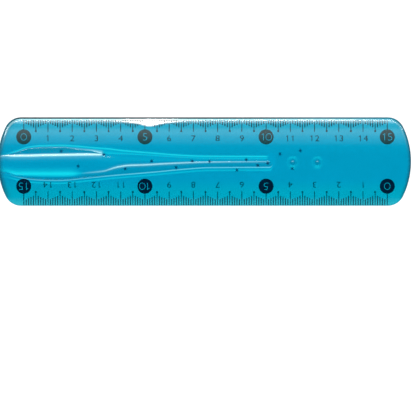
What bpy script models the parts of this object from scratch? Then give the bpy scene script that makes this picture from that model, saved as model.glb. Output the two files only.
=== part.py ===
"""A fifteen centimetre flexible ruler of soft clear plastic, in metres, +Z up.

The ruler lies flat on its printed underside. The origin is under its middle, X runs along it and Y across
it. The moulding flexes anywhere along its length, so it is built as a row of short blade sections that meet
at flexure lines, some of which bend across the ruler and some of which twist about its length.
"""

import math

import bmesh
import bpy
from mathutils import Matrix, Vector

MM = 0.001

# Blade
BLADE_LENGTH = 170.3 * MM
BLADE_WIDTH = 36.5 * MM
BLADE_THICKNESS = 2.0 * MM
EDGE_THICKNESS = 1.2 * MM
FLAT_HALF_WIDTH = 6.8 * MM
END_BOW_RADIUS = 33.0 * MM
CORNER_RADIUS = 7.0 * MM
BEVEL_WIDTH = 1.3 * MM
BEVEL_DROP = 0.45 * MM
RIM_RADIUS = 0.25 * MM
RIM_STEPS = 2
RIM_LIMIT_SHARE = 0.4

# Scale
MARK_STEP = 1.0 * MM
MARKS_PER_NUMBER = 10
MARKS_PER_DISC = 50
ZERO_MARGIN = 10.6 * MM
LEAST_END_MARGIN = 9.0 * MM

# Raised ribbon
RIBBON_HEIGHT = 0.9 * MM
RIBBON_REACH = 7.7 * MM
RIBBON_END_FROM_ZERO = 102.8 * MM
RIBBON_NOSE_LENGTH = 2.1 * MM
RIBBON_FOOT_WIDTH = 0.8 * MM
# Each pair is a share of the ribbon's length from the ruler's left end, and a share of its reach from the
# middle line. The feet are where it leaves the blade, and its face lies between the two ribbon edges.
UPPER_FOOT_SHARES = (
    (0.00, 0.24),
    (0.06, 0.60),
    (0.19, 0.85),
    (0.38, 0.67),
    (0.56, 0.44),
    (0.78, 0.27),
    (1.00, 0.26),
)
UPPER_EDGE_SHARES = (
    (0.00, 0.20),
    (0.06, 0.34),
    (0.24, 0.36),
    (0.38, 0.46),
    (0.50, 0.37),
    (0.64, 0.24),
    (0.80, 0.13),
    (1.00, 0.13),
)
LOWER_EDGE_SHARES = (
    (0.00, -0.46),
    (0.06, -0.61),
    (0.22, -0.62),
    (0.36, -0.53),
    (0.46, -0.20),
    (0.60, -0.14),
    (0.78, -0.03),
    (1.00, -0.01),
)
LOWER_FOOT_SHARES = (
    (0.00, -0.64),
    (0.08, -0.87),
    (0.19, -1.00),
    (0.36, -0.83),
    (0.54, -0.58),
    (0.78, -0.31),
    (1.00, -0.30),
)
# Each pair is a share of the ribbon's length and a share of its height.
UPPER_RISE_SHARES = ((0.00, 0.30), (0.05, 1.00), (0.30, 1.00), (0.46, 0.36), (1.00, 0.40))
LOWER_RISE_SHARES = ((0.00, 0.25), (0.05, 0.34), (0.28, 0.38), (0.44, 1.00), (1.00, 0.95))
FLANK_BULGE_SHARE = 0.62

# Domes beyond the ribbon's tail
DOMES_FROM_ZERO = (110.9 * MM, 121.1 * MM)
DOME_RADIUS = 1.5 * MM
DOME_HEIGHT = 0.7 * MM
DOME_OFFSET_Y = -0.4 * MM
DOME_FOOT_WIDTH = 0.6 * MM
DOME_STEPS = 20
DOME_RISE_STEPS = 5

# Print on the underside
INK_THICKNESS = 0.1 * MM
MARK_WIDTH = 0.22 * MM
SHORT_MARK_LENGTH = 2.8 * MM
MARK_LENGTH_RISE = 0.45 * MM
HALF_NUMBER_MARK_LENGTH = 5.5 * MM
NUMBER_MARK_LENGTH = 6.0 * MM
MARK_INSET = 0.45 * MM
DOT_DIAMETER = 0.85 * MM
DOT_STEPS = 8
DISC_DIAMETER = 6.2 * MM
DISC_INSET = 8.1 * MM
DISC_STEPS = 32

# Flexure lines
MARKS_TO_FIRST_FLEXURE = 9.5
MARKS_PER_SECTION = 12
FLEXURE_GAP = 0.3 * MM
BEND_LIMIT = math.radians(22.5)
TWIST_EVERY = 3

# How far a cutting body passes what it cuts
OVERRUN = 1.0 * MM

# Mesh steps
END_ZONE_LENGTH = 12.0 * MM
END_COLUMN_SHARES = (0.0, 0.055, 0.11, 0.21, 0.35, 0.52, 0.74, 1.0)
COLUMN_STEP = 4.0 * MM
SIDE_ROW_SHARES = (0.0, 0.07, 0.14, 0.26, 0.45, 0.70)
FACE_ROW_SHARES = (0.0, 0.33, 0.67, 1.0)
PINCH_SHARE = 0.12

HALF_LENGTH = BLADE_LENGTH / 2
HALF_WIDTH = BLADE_WIDTH / 2
RIM = min(RIM_RADIUS, RIM_LIMIT_SHARE * (EDGE_THICKNESS - BEVEL_DROP))
ZERO_X = ZERO_MARGIN - HALF_LENGTH
NUMBER_STEP = MARKS_PER_NUMBER * MARK_STEP
NUMBER_COUNT = int((BLADE_LENGTH - ZERO_MARGIN - LEAST_END_MARGIN) / NUMBER_STEP)
MARK_COUNT = NUMBER_COUNT * MARKS_PER_NUMBER
AXIS_Z = INK_THICKNESS + BLADE_THICKNESS / 2
TOP_Z = INK_THICKNESS + BLADE_THICKNESS + max(RIBBON_HEIGHT, DOME_HEIGHT)


def interpolate(points, share):
    """The value at share on a smooth curve through (share, value) points, which never passes a peak."""
    last = len(points) - 1

    def rise(i):
        """The slope of the straight run after point i."""
        i = min(max(i, 0), last - 1)
        return (points[i + 1][1] - points[i][1]) / (points[i + 1][0] - points[i][0])

    def slope(i):
        """The curve's slope at point i: level at a peak, and otherwise a mean of the runs beside it."""
        before, after = rise(i - 1), rise(i)
        return 0 if before * after <= 0 else 2 * before * after / (before + after)

    span = next((i for i in range(last) if share <= points[i + 1][0]), last - 1)
    (x0, y0), (x1, y1) = points[span], points[span + 1]
    width = x1 - x0
    t = min(max((share - x0) / width, 0), 1)
    rest = 1 - t
    bend = rest * (slope(span) * width - (y1 - y0)) - t * (slope(span + 1) * width - (y1 - y0))
    return rest * y0 + t * y1 + t * rest * bend


def fillet_centre():
    """Where the round corner of the right end at +Y is struck from."""
    y = HALF_WIDTH - CORNER_RADIUS
    bow_x = HALF_LENGTH - END_BOW_RADIUS
    return bow_x + math.sqrt((END_BOW_RADIUS - CORNER_RADIUS) ** 2 - y**2), y


def corner_point(inset):
    """The middle of the round corner's arc, where the end and the long edge share it."""
    x, y = fillet_centre()
    start = math.asin(y / (END_BOW_RADIUS - CORNER_RADIUS))
    middle = (start + math.pi / 2) / 2
    radius = CORNER_RADIUS - inset
    return x + radius * math.cos(middle), y + radius * math.sin(middle)


def outline_x(y, inset):
    """The right end's distance from the middle at the height y, at an inset inside the outline: the bow,
    then the round corner."""
    x, centre_y = fillet_centre()
    tangent_y = (END_BOW_RADIUS - inset) * centre_y / (END_BOW_RADIUS - CORNER_RADIUS)
    if abs(y) <= tangent_y:
        return HALF_LENGTH - END_BOW_RADIUS + math.sqrt((END_BOW_RADIUS - inset) ** 2 - y**2)
    return x + math.sqrt(max((CORNER_RADIUS - inset) ** 2 - (abs(y) - centre_y) ** 2, 0))


def outline_y(x, inset):
    """The long edge's distance from the middle line at x, which drops round the corner."""
    centre_x, y = fillet_centre()
    if x <= centre_x:
        return HALF_WIDTH - inset
    return y + math.sqrt(max((CORNER_RADIUS - inset) ** 2 - (x - centre_x) ** 2, 0))


def on_outline(x, y, inset):
    """Carries a point of the plain rectangle into the outline with bowed ends and round corners, at an
    inset all round."""
    inner_x = HALF_LENGTH - END_ZONE_LENGTH
    into_end = (abs(x) - inner_x) / END_ZONE_LENGTH
    if into_end <= 0:
        return x, y
    corner_x, corner_y = corner_point(inset)
    across = y / (HALF_WIDTH - inset)
    edge_x = inner_x + into_end * (corner_x - inner_x)
    end_x = outline_x(across * corner_y, inset)
    return (
        math.copysign(edge_x + into_end**2 * (end_x - corner_x), x),
        across * outline_y(edge_x, inset),
    )


def to_edge(x, y):
    """The way straight out from a point near the edge to the outline."""
    centre_x, centre_y = fillet_centre()
    past_bow = Vector((abs(x) - HALF_LENGTH + END_BOW_RADIUS, abs(y)))
    past_centre = Vector((abs(x) - centre_x, abs(y) - centre_y))
    bow_edge = Vector((centre_x - HALF_LENGTH + END_BOW_RADIUS, centre_y))
    if past_centre.x <= 0:
        out = Vector((0, HALF_WIDTH - abs(y)))
    elif bow_edge.cross(past_centre) >= 0:
        out = past_centre.normalized() * (CORNER_RADIUS - past_centre.length)
    else:
        out = past_bow.normalized() * (END_BOW_RADIUS - past_bow.length)
    return Vector((math.copysign(1, x) * out.x, math.copysign(1, y) * out.y))


def blade_top(x, y):
    """The height of the plain blade's top: level in the middle, falling to the measuring edges, with a
    rounded bevel all round."""
    fall = max(abs(y) - FLAT_HALF_WIDTH, 0) / (HALF_WIDTH - FLAT_HALF_WIDTH)
    into_bevel = min(max(1 - to_edge(x, y).length / BEVEL_WIDTH, 0), 1)
    drop = (BLADE_THICKNESS - EDGE_THICKNESS) * fall**2 + BEVEL_DROP * into_bevel**1.5
    return INK_THICKNESS + BLADE_THICKNESS - drop


def ribbon_end_x():
    """Where the tail of the ribbon stops."""
    return ZERO_X + RIBBON_END_FROM_ZERO


def nose(x):
    """One along the ribbon, falling as a quarter circle to nothing over its rounded tail end."""
    into_nose = (x - ribbon_end_x()) / RIBBON_NOSE_LENGTH + 1
    return 1.0 if into_nose <= 0 else math.sqrt(max(1 - into_nose**2, 0))


def ribbon_rows(x):
    """(y, rise) of each mesh row that follows the ribbon at x, from its upper foot to its lower one."""
    share = min((x + HALF_LENGTH) / (ribbon_end_x() + HALF_LENGTH), 1)
    past_end = max((x - ribbon_end_x()) / RIBBON_NOSE_LENGTH, 0)
    pinch = max(nose(x), PINCH_SHARE, min(past_end, 1))
    foot_y = interpolate(UPPER_FOOT_SHARES, share)
    sole_y = interpolate(LOWER_FOOT_SHARES, share)
    middle = (foot_y + sole_y) / 2
    upper_y = interpolate(UPPER_EDGE_SHARES, share)
    lower_y = interpolate(LOWER_EDGE_SHARES, share)
    upper_rise = interpolate(UPPER_RISE_SHARES, share)
    lower_rise = interpolate(LOWER_RISE_SHARES, share)
    rows = [(foot_y, 0), ((foot_y + upper_y) / 2, FLANK_BULGE_SHARE * upper_rise)]
    for across in FACE_ROW_SHARES:
        y = upper_y + (lower_y - upper_y) * across
        rows.append((y, upper_rise + (lower_rise - upper_rise) * across))
    rows += [((sole_y + lower_y) / 2, FLANK_BULGE_SHARE * lower_rise), (sole_y, 0)]
    tall = RIBBON_HEIGHT * nose(x)
    return [
        (RIBBON_REACH * (middle + (y - middle) * pinch), tall * rise)
        for y, rise in rows
    ]


def top_rows(x):
    """(y, rise) of every mesh row across the blade's top at x, from +Y to -Y."""
    ribbon = ribbon_rows(x)
    edge_y = HALF_WIDTH - RIM
    upper_foot = ribbon[0][0] + RIBBON_FOOT_WIDTH
    lower_foot = ribbon[-1][0] - RIBBON_FOOT_WIDTH
    upper = [edge_y + (upper_foot - edge_y) * share for share in SIDE_ROW_SHARES]
    lower = [-edge_y + (lower_foot + edge_y) * share for share in reversed(SIDE_ROW_SHARES)]
    return [(y, 0) for y in upper + [upper_foot]] + ribbon + [(y, 0) for y in [lower_foot] + lower]


def column_places():
    """The x of every mesh column: close together at the ends and at the ribbon's nose."""
    ends = [HALF_LENGTH - END_ZONE_LENGTH * share for share in END_COLUMN_SHARES]
    nose_start = ribbon_end_x() - RIBBON_NOSE_LENGTH
    nose_turn = [nose_start + RIBBON_NOSE_LENGTH * math.sin(math.radians(a)) for a in (0, 30, 60, 90)]
    past_nose = ribbon_end_x() + RIBBON_NOSE_LENGTH
    inner = ends[-1]
    left_steps = max(round((nose_start + inner) / COLUMN_STEP), 1)
    right_steps = max(round((inner - past_nose) / COLUMN_STEP), 1)
    left = [-inner + (nose_start + inner) * i / left_steps for i in range(1, left_steps)]
    right = [past_nose + (inner - past_nose) * i / right_steps for i in range(right_steps)]
    return [-x for x in ends] + left + nose_turn + right + ends[::-1]


def new_object(name, bm):
    """An object that takes the bmesh."""
    mesh = bpy.data.meshes.new(name)
    bm.to_mesh(mesh)
    bm.free()
    obj = bpy.data.objects.new(name, mesh)
    bpy.context.scene.collection.objects.link(obj)
    return obj


def round_rim(bm):
    """Grows the wall from the edge of the top, ring by ring: a quarter round, the wall and a second
    quarter round that leads in to the underside. It returns the last ring's edges."""
    starts = {}
    for vert in bm.verts:
        if vert.is_boundary:
            starts[vert] = vert.co.copy(), to_edge(vert.co.x, vert.co.y).normalized().to_3d()
    turns = [math.pi / 2 * step / RIM_STEPS for step in range(RIM_STEPS + 1)]
    rings = [(math.sin(turn), math.cos(turn), False) for turn in turns[1:]]
    rings += [(math.cos(turn), math.sin(turn), True) for turn in turns]
    edges = [edge for edge in bm.edges if edge.is_boundary]
    for out, level, under in rings:
        grown = bmesh.ops.extrude_edge_only(bm, edges=edges)["geom"]
        edges = [item for item in grown if isinstance(item, bmesh.types.BMEdge) and item.is_boundary]
        ring = {}
        for vert in (item for item in grown if isinstance(item, bmesh.types.BMVert)):
            neighbours = (edge.other_vert(vert) for edge in vert.link_edges)
            start, outward = starts[next(other for other in neighbours if other in starts)]
            ring[vert] = start, outward
            vert.co = start + outward * RIM * out
            vert.co.z = INK_THICKNESS + RIM * (1 - level) if under else start.z - RIM * (1 - level)
        starts = ring
    return edges


def make_blank():
    """The whole moulding before its domes: a grid drawn to the outline and the ribbon, given a rounded
    wall and a flat underside."""
    columns = column_places()
    rows = [top_rows(x) for x in columns]
    bm = bmesh.new()
    bmesh.ops.create_grid(
        bm, x_segments=len(columns) - 1, y_segments=len(rows[0]) - 1, size=1
    )
    for vert in bm.verts:
        column = round((vert.co.x + 1) / 2 * (len(columns) - 1))
        row = round((1 - vert.co.y) / 2 * (len(rows[0]) - 1))
        y, rise = rows[column][row]
        x, y = on_outline(columns[column], y, RIM)
        vert.co = Vector((x, y, blade_top(x, y) + rise))
    foot = round_rim(bm)
    underside = bmesh.ops.contextual_create(bm, geom=foot)["faces"]
    bmesh.ops.triangulate(bm, faces=underside, ngon_method="BEAUTY")
    bmesh.ops.recalc_face_normals(bm, faces=bm.faces)
    return new_object("blank", bm)


def make_dome(x):
    """A domed stud with a flared foot, turned about its own axis and rooted in the blade."""
    foot_z = INK_THICKNESS + BLADE_THICKNESS
    root_z = AXIS_Z
    foot_radius = DOME_RADIUS + DOME_FOOT_WIDTH
    rise = DOME_HEIGHT - DOME_FOOT_WIDTH / 2
    profile = [(0, root_z), (foot_radius, root_z), (foot_radius, foot_z)]
    profile.append((DOME_RADIUS + DOME_FOOT_WIDTH / 4, foot_z + DOME_FOOT_WIDTH / 4))
    for step in range(DOME_RISE_STEPS + 1):
        turn = math.pi / 2 * step / DOME_RISE_STEPS
        z = foot_z + DOME_HEIGHT - rise + rise * math.sin(turn)
        profile.append((DOME_RADIUS * math.cos(turn), z))
    bm = bmesh.new()
    verts = [bm.verts.new((r, 0, z)) for r, z in profile]
    edges = [bm.edges.new(pair) for pair in zip(verts, verts[1:])]
    bmesh.ops.spin(
        bm,
        geom=verts + edges,
        axis=(0, 0, 1),
        cent=(0, 0, 0),
        angle=2 * math.pi,
        steps=DOME_STEPS,
        use_merge=True,
    )
    bmesh.ops.remove_doubles(bm, verts=bm.verts, dist=MARK_WIDTH / 100)
    bmesh.ops.recalc_face_normals(bm, faces=bm.faces)
    bmesh.ops.translate(bm, verts=bm.verts, vec=(x, DOME_OFFSET_Y, 0))
    return new_object("dome", bm)


def combine(obj, tool, operation):
    """Applies an exact Boolean of obj with tool, and deletes the tool."""
    modifier = obj.modifiers.new(operation.title(), "BOOLEAN")
    modifier.operation = operation
    modifier.solver = "EXACT"
    modifier.object = tool
    bpy.context.view_layer.update()
    result = bpy.data.meshes.new_from_object(
        obj.evaluated_get(bpy.context.evaluated_depsgraph_get())
    )
    obj.modifiers.clear()
    obj.data = result
    bpy.data.objects.remove(tool)


def flexure_places():
    """The x of every flexure line, each half a mark past a mark, for as far as the scale runs."""
    count = int((MARK_COUNT - MARKS_TO_FIRST_FLEXURE) // MARKS_PER_SECTION) + 1
    return [
        ZERO_X + (MARKS_TO_FIRST_FLEXURE + MARKS_PER_SECTION * i) * MARK_STEP
        for i in range(count)
    ]


def twists(index, count):
    """Whether flexure line index twists. Counted out from the middle, every third line does, from the second."""
    out = index - count // 2 if index >= count // 2 else count // 2 - 1 - index
    return out % TWIST_EVERY == 1


def section_end(x, into, leans):
    """Three (x, z) points down a section's end at the flexure x. A bending end leans back by half the bend."""
    lean = math.tan(BEND_LIMIT / 2) if leans else 0
    points = []
    for z in (TOP_Z + OVERRUN, AXIS_Z, -OVERRUN):
        back = FLEXURE_GAP / 2 + lean * abs(z - AXIS_Z)
        points.append((x + into * back, z))
    return points


def make_section_cutter(index, flexures):
    """The block of space that one blade section is cut from the moulding with."""
    count = len(flexures)
    if index == 0:
        left = section_end(-HALF_LENGTH - OVERRUN, 1, False)
    else:
        left = section_end(flexures[index - 1], 1, not twists(index - 1, count))
    if index == count:
        right = section_end(HALF_LENGTH + OVERRUN, -1, False)
    else:
        right = section_end(flexures[index], -1, not twists(index, count))
    bm = bmesh.new()
    near_y = -HALF_WIDTH - OVERRUN
    face = bm.faces.new([bm.verts.new((x, near_y, z)) for x, z in left + right[::-1]])
    grown = bmesh.ops.extrude_face_region(bm, geom=[face])["geom"]
    moved = [item for item in grown if isinstance(item, bmesh.types.BMVert)]
    bmesh.ops.translate(bm, verts=moved, vec=(0, BLADE_WIDTH + 2 * OVERRUN, 0))
    bmesh.ops.recalc_face_normals(bm, faces=bm.faces)
    return new_object("section_cutter", bm)


def mark_length(mark):
    """How far a mark reaches from the measuring edge: longest at a number, then at the half."""
    half = MARKS_PER_NUMBER // 2
    from_number = min(mark % MARKS_PER_NUMBER, -mark % MARKS_PER_NUMBER)
    if from_number == 0:
        return NUMBER_MARK_LENGTH
    if from_number == half:
        return HALF_NUMBER_MARK_LENGTH
    return SHORT_MARK_LENGTH + MARK_LENGTH_RISE * (from_number - 1)


def add_block(bm, low, high):
    """Adds a closed block between two corners."""
    size = Vector(high) - Vector(low)
    middle = (Vector(high) + Vector(low)) / 2
    placed = Matrix.Translation(middle) @ Matrix.Diagonal((*size, 1))
    bmesh.ops.create_cube(bm, size=1, matrix=placed)


def add_round(bm, x, y, diameter, height, steps):
    """Adds a closed round plate that stands on the ruler's lowest level."""
    bmesh.ops.create_cone(
        bm,
        cap_ends=True,
        segments=steps,
        radius1=diameter / 2,
        radius2=diameter / 2,
        depth=height,
        matrix=Matrix.Translation((x, y, height / 2)),
    )


def number_of(mark, side):
    """The count of marks from the zero of its own scale: the lower one starts at the other end."""
    return mark if side > 0 else MARK_COUNT - mark


def make_marks(marks):
    """The printed marks of one section on both measuring edges, rooted in the blade. A mark that runs
    into a number disc is left to the disc."""
    rooted = 2 * INK_THICKNESS
    bars = bmesh.new()
    dots = bmesh.new()
    for mark in marks:
        x = ZERO_X + mark * MARK_STEP
        end_y = HALF_WIDTH - mark_length(mark)
        for side in (1, -1):
            if number_of(mark, side) % MARKS_PER_DISC == 0:
                continue
            ys = sorted((side * end_y, side * (HALF_WIDTH - MARK_INSET)))
            low = (x - MARK_WIDTH / 2, ys[0], 0)
            add_block(bars, low, (x + MARK_WIDTH / 2, ys[1], rooted))
            if mark % MARKS_PER_NUMBER == MARKS_PER_NUMBER // 2:
                dot_y = side * (end_y - DOT_DIAMETER / 4)
                add_round(dots, x, dot_y, DOT_DIAMETER, rooted, DOT_STEPS)
    bar_object = new_object("bars", bars)
    if dots.verts:
        combine(bar_object, new_object("dots", dots), "UNION")
    return bar_object


def make_disc(name, mark, side):
    """A round number plate of ink with the long mark that ties it to the measuring edge."""
    x = ZERO_X + mark * MARK_STEP
    centre_y = side * (HALF_WIDTH - DISC_INSET)
    bm = bmesh.new()
    add_round(bm, x, centre_y, DISC_DIAMETER, INK_THICKNESS, DISC_STEPS)
    disc = new_object(name, bm)
    bar = bmesh.new()
    ys = sorted((centre_y, side * (HALF_WIDTH - MARK_INSET)))
    low = (x - MARK_WIDTH / 2, ys[0], 0)
    add_block(bar, low, (x + MARK_WIDTH / 2, ys[1], INK_THICKNESS))
    combine(disc, new_object("bar", bar), "UNION")
    return disc


def material(name, colour, roughness, transmission):
    """A Principled finish."""
    made = bpy.data.materials.new(name)
    made.use_nodes = True
    shader = made.node_tree.nodes["Principled BSDF"]
    shader.inputs["Base Color"].default_value = (*colour, 1)
    shader.inputs["Metallic"].default_value = 0
    shader.inputs["Roughness"].default_value = roughness
    shader.inputs["Transmission Weight"].default_value = transmission
    made.diffuse_color = (*colour, 1)
    return made


def finish(obj, made, smooth):
    """Gives an object its one material, and smooth shading with its crisp edges kept."""
    obj.data.materials.clear()
    obj.data.materials.append(made)
    if smooth:
        obj.data.shade_smooth()
        obj.data.set_sharp_from_angle(angle=math.radians(30))


def set_origin(obj, origin):
    """Moves an object's origin and leaves its shape where it is."""
    obj.data.transform(Matrix.Translation(-Vector(origin)))
    obj.location = origin


def hang(child, parent):
    """Parents child to parent, neither of which is turned, and leaves the child where it is."""
    child.parent = parent
    child.location -= parent.matrix_world.translation
    bpy.context.view_layer.update()


def make_sections(clear_blue):
    """Every blade section with its marks, each with its origin on the flexure line that moves it."""
    flexures = flexure_places()
    blank = make_blank()
    for from_zero in DOMES_FROM_ZERO:
        combine(blank, make_dome(ZERO_X + from_zero), "UNION")
    root = len(flexures) // 2
    ends = [-HALF_LENGTH] + flexures + [HALF_LENGTH]
    sections = []
    for index in range(len(flexures) + 1):
        section = blank.copy()
        section.data = blank.data.copy()
        section.name = f"blade_section_{index + 1:02d}"
        bpy.context.scene.collection.objects.link(section)
        combine(section, make_section_cutter(index, flexures), "INTERSECT")
        low, high = ends[index], ends[index + 1]
        held = [mark for mark in range(MARK_COUNT + 1) if low < ZERO_X + mark * MARK_STEP < high]
        combine(section, make_marks(held), "UNION")
        finish(section, clear_blue, True)
        flexure = 0 if index == root else high if index < root else low
        set_origin(section, (flexure, 0, AXIS_Z))
        sections.append(section)
    bpy.data.objects.remove(blank)
    for index in range(root + 1, len(sections)):
        bpy.context.view_layer.update()
        hang(sections[index], sections[index - 1])
    for index in reversed(range(root)):
        bpy.context.view_layer.update()
        hang(sections[index], sections[index + 1])
    return sections


def make_discs(ink, sections):
    """The numbered discs of both scales. The lower scale reads the other way round."""
    flexures = flexure_places()
    for mark in range(MARK_COUNT + 1):
        x = ZERO_X + mark * MARK_STEP
        section = sections[sum(flexure < x for flexure in flexures)]
        for word, side in (("upper", 1), ("lower", -1)):
            number = number_of(mark, side)
            if number % MARKS_PER_DISC:
                continue
            disc = make_disc(f"{word}_disc_{number // MARKS_PER_NUMBER:02d}", mark, side)
            finish(disc, ink, True)
            set_origin(disc, (x, side * (HALF_WIDTH - DISC_INSET), 0))
            hang(disc, section)


def main():
    """Clears the scene and builds the ruler."""
    for obj in list(bpy.data.objects):
        bpy.data.objects.remove(obj)
    sections = make_sections(material("clear_blue_plastic", (0.0, 0.33, 0.52), 0.08, 0.7))
    make_discs(material("dark_ink", (0.01, 0.015, 0.03), 0.45, 0.0), sections)


if __name__ == "__main__":
    main()
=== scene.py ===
"""The looks of a fifteen centimetre flexible ruler of clear blue plastic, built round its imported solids.

One fine moulding is modelled whole, then cut across into strips, one for each flexure line, that bend or
twist between the two blade sections beside that line. The print under it is cut up the same way.
"""

import logging
import math
from bisect import bisect
from dataclasses import dataclass, field
from enum import Enum
from functools import cached_property
from typing import NamedTuple

import bmesh
import bpy
from bmesh.types import BMEdge, BMesh, BMLayerItem, BMVert
from bpy.types import Material, Mesh, Node, NodeSocket, NodeTree, Object
from mathutils import Matrix, Vector
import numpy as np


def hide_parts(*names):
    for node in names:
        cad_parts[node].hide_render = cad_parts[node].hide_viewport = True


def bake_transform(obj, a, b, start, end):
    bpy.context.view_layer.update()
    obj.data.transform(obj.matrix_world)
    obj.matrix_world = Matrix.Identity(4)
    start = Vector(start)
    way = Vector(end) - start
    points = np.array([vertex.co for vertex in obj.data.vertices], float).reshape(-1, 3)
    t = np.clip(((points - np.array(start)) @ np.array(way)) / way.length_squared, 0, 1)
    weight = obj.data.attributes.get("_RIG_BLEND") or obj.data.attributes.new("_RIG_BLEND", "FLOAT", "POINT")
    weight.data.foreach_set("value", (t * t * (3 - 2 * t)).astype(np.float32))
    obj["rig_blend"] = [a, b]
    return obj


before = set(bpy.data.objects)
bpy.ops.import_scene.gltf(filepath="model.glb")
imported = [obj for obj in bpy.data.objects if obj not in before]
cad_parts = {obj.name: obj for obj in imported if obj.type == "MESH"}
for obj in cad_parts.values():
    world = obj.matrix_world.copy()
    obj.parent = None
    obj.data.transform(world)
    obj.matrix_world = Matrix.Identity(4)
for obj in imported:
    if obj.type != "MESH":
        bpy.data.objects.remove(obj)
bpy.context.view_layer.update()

MM = 0.001
LOG = logging.getLogger("ruler")
Pair = tuple[float, float]
Points = tuple[Pair, ...]
Colour = tuple[float, float, float]


def millimetres(*pairs: Pair) -> Points:
    """Turns pairs of lengths from millimetres into metres."""
    return tuple((place * MM, value * MM) for place, value in pairs)


def along(*pairs: Pair) -> Points:
    """Turns the places of (place, value) pairs from millimetres into metres."""
    return tuple((place * MM, value) for place, value in pairs)


def smooth_path(points: Points, at: float) -> float:
    """Reads a smooth curve that never passes its own peaks.

    Args:
        points: The (place, value) pairs that it runs through, in rising order of place.
        at: The place to read it at. Past either end the curve stays level.

    Returns:
        The value there.
    """
    last = len(points) - 1
    at = min(max(at, points[0][0]), points[-1][0])
    span = min(max(bisect([place for place, _ in points], at) - 1, 0), last - 1)

    def run(i: int) -> float:
        """The slope of the straight run after point i."""
        i = min(max(i, 0), last - 1)
        return (points[i + 1][1] - points[i][1]) / (points[i + 1][0] - points[i][0])

    def slope(i: int) -> float:
        """The curve's own slope at point i."""
        before, after = run(i - 1), run(i)
        return 0.0 if before * after <= 0 else 2 * before * after / (before + after)

    (x0, y0), (x1, y1) = points[span], points[span + 1]
    width = x1 - x0
    t = (at - x0) / width
    bend = (1 - t) * (slope(span) * width - (y1 - y0)) - t * (slope(span + 1) * width - (y1 - y0))
    return (1 - t) * y0 + t * y1 + t * (1 - t) * bend


def ease(share: float) -> float:
    """A share from 0 to 1 with a soft start and a soft end."""
    share = min(max(share, 0.0), 1.0)
    return share * share * (3 - 2 * share)


def link_object(name: str, data: bpy.types.ID) -> Object:
    """Makes an object of some data and puts it into the scene."""
    obj = bpy.data.objects.new(name, data)
    bpy.context.scene.collection.objects.link(obj)
    return obj


def to_mesh(name: str, bm: BMesh) -> Mesh:
    """Turns a bmesh into a mesh, and frees the bmesh."""
    mesh = bpy.data.meshes.new(name)
    bm.to_mesh(mesh)
    bm.free()
    return mesh


def take_up(bm: BMesh, mesh: Mesh) -> None:
    """Moves a mesh's shape into a bmesh."""
    bm.from_mesh(mesh)
    bpy.data.meshes.remove(mesh)


def add_object(name: str, bm: BMesh) -> Object:
    """Puts an object with a bmesh's shape into the scene."""
    return link_object(name, to_mesh(name, bm))


def keep_clear(piece: Object) -> None:
    """Keeps a piece out of the floor's shadows and bounced light, and logs it."""
    piece.visible_shadow = False
    piece.visible_diffuse = False
    LOG.info("%s: %d faces", piece.name, len(piece.data.polygons))


@dataclass(frozen=True)
class Graph:
    """A tree of shader nodes, which grows one node at a time."""

    tree: NodeTree

    def feed(self, node: Node, inputs: dict[int | str, object]) -> None:
        """Gives a node's inputs plain values, or links them to outputs of other nodes.

        Args:
            node: The node.
            inputs: What each input takes, by its name or number.
        """
        for key, value in inputs.items():
            if isinstance(value, NodeSocket):
                self.tree.links.new(value, node.inputs[key])
            else:
                node.inputs[key].default_value = value

    def add(
        self, kind: str, inputs: dict[int | str, object], out: int | str = 0, **settings: object
    ) -> NodeSocket:
        """Adds a node.

        Args:
            kind: Its type, without the word that every shader node's type starts with.
            inputs: What its inputs take.
            out: The output that is wanted.
            **settings: Its own settings.

        Returns:
            That output.
        """
        node = self.tree.nodes.new(f"ShaderNode{kind}")
        for name, setting in settings.items():
            setattr(node, name, setting)
        self.feed(node, inputs)
        return node.outputs[out]

    def ramp(self, share: NodeSocket, stops: list[tuple[float, Colour]]) -> NodeSocket:
        """Adds a colour ramp.

        Args:
            share: The output that says where on the ramp a point is.
            stops: The ramp's places and colours, in rising order of place.

        Returns:
            The ramp's colour.
        """
        colour = self.add("ValToRGB", {0: share})
        elements = colour.node.color_ramp.elements
        while len(elements) < len(stops):
            elements.new(stops[-1][0])
        for element, (place, tone) in zip(elements, stops):
            element.position = place
            element.color = (*tone, 1)
        return colour

    def mix(self, share: NodeSocket, colour: object, target: Colour) -> NodeSocket:
        """Adds a mix of a colour, which is plain or an output, with a plain target."""
        return self.add("Mix", {0: share, 6: colour, 7: (*target, 1)}, 2, data_type="RGBA")

    def object_place(self) -> tuple[NodeSocket, NodeSocket]:
        """Adds a point's place on the object, and its y."""
        place = self.add("TexCoord", {}, "Object")
        return place, self.add("SeparateXYZ", {0: place}, "Y")

    def noise(self, place: NodeSocket, scale: float, detail: float) -> NodeSocket:
        """Adds a noise that keeps to the object."""
        return self.add("TexNoise", {"Scale": scale, "Detail": detail, "Vector": place}, "Fac")

    def share(self, value: NodeSocket, low: float, high: float) -> NodeSocket:
        """Adds the share of the way from low to high that a value has gone."""
        return self.add("MapRange", {"From Min": low, "From Max": high, "Value": value})

    def spread(self, noise: NodeSocket, ends: Pair) -> NodeSocket:
        """Adds a value that a noise moves between two ends."""
        return self.add("MapRange", {"To Min": ends[0], "To Max": ends[1], "Value": noise})

    def scaled(self, colour: NodeSocket, factor: NodeSocket) -> NodeSocket:
        """Adds a colour that a factor makes paler or deeper."""
        return self.add("VectorMath", {0: colour, "Scale": factor}, operation="SCALE")


def new_finish(name: str) -> tuple[Material, Graph, Node]:
    """Starts a material, and gives its graph and its shader with it."""
    made = bpy.data.materials.new(name)
    made.use_nodes = True
    return made, Graph(made.node_tree), made.node_tree.nodes["Principled BSDF"]


class Side(Enum):
    """The two measuring edges. The value is the way from the middle line to the edge."""

    UPPER = 1
    LOWER = -1


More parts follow.
